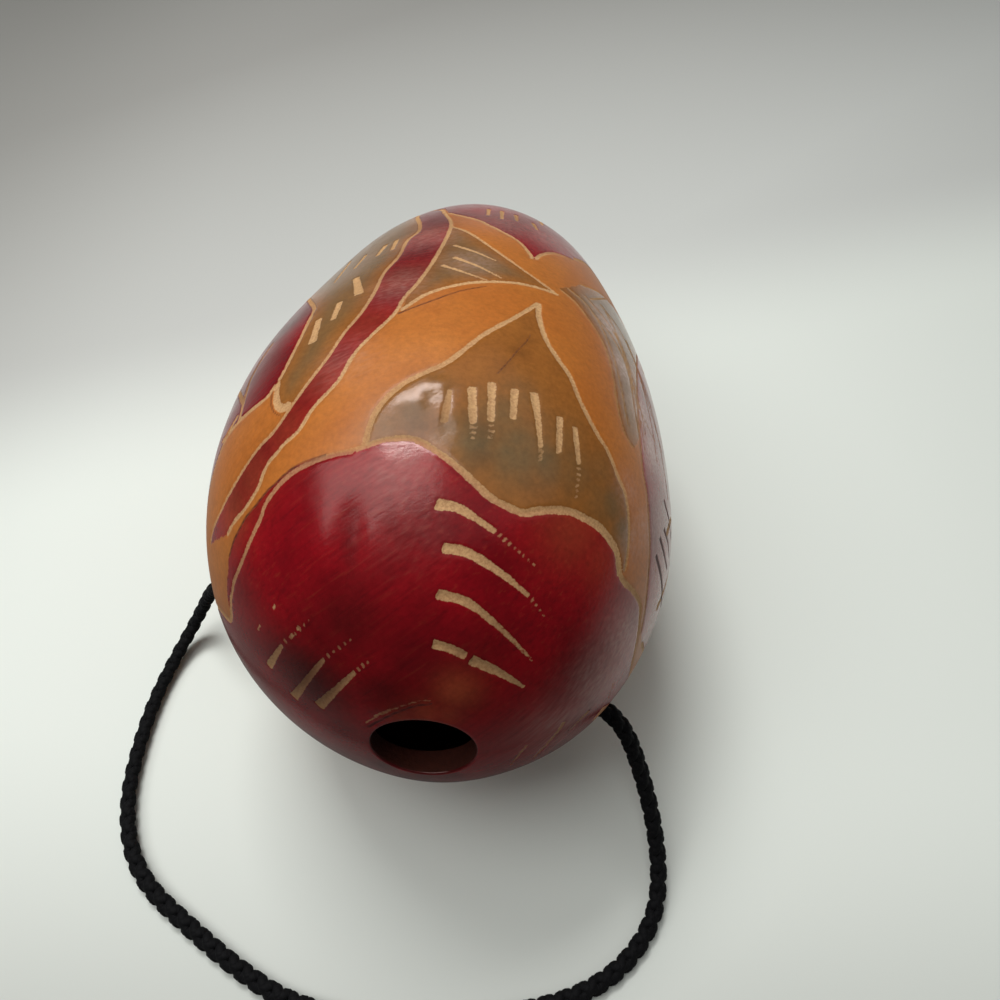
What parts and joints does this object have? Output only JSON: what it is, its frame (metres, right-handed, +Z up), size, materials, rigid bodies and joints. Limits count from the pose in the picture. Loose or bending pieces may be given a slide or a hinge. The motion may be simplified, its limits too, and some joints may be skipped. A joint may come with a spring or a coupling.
{
  "type": "carved hanging gourd",
  "caption": "Hollow dried gourd with a drilled round mouth, dyed and carved with flowers and leaves, hung from a braided cord loop knotted inside its flanks.",
  "frame": {"origin": "middle of the flat spot on the shell's lower side that it rests on", "axes": "+Z up, +Y along the shell from the mouth end to the stem end, +X to the right of a viewer who faces the mouth"},
  "size_m": [0.178, 0.2785, 0.1346],
  "materials": {
    "dyed_gourd": "dyed, carved and waxed gourd shell",
    "braided_cord": "black braided cord"
  },
  "bodies": {
    "gourd": {"gourd_shell": "dyed_gourd"},
    "cord": {"hanging_cord": "braided_cord", "knot_right": "braided_cord", "knot_left": "braided_cord"}
  },
  "joints": [
    {"name": "cord_swing", "type": "hinge", "parent": "gourd", "child": "cord", "pos_m": [0.046, -0.06326, 0.04029], "axis": [-0.9663, 0.2572, -0.0061], "range_deg": [0, 115]}
  ]
}
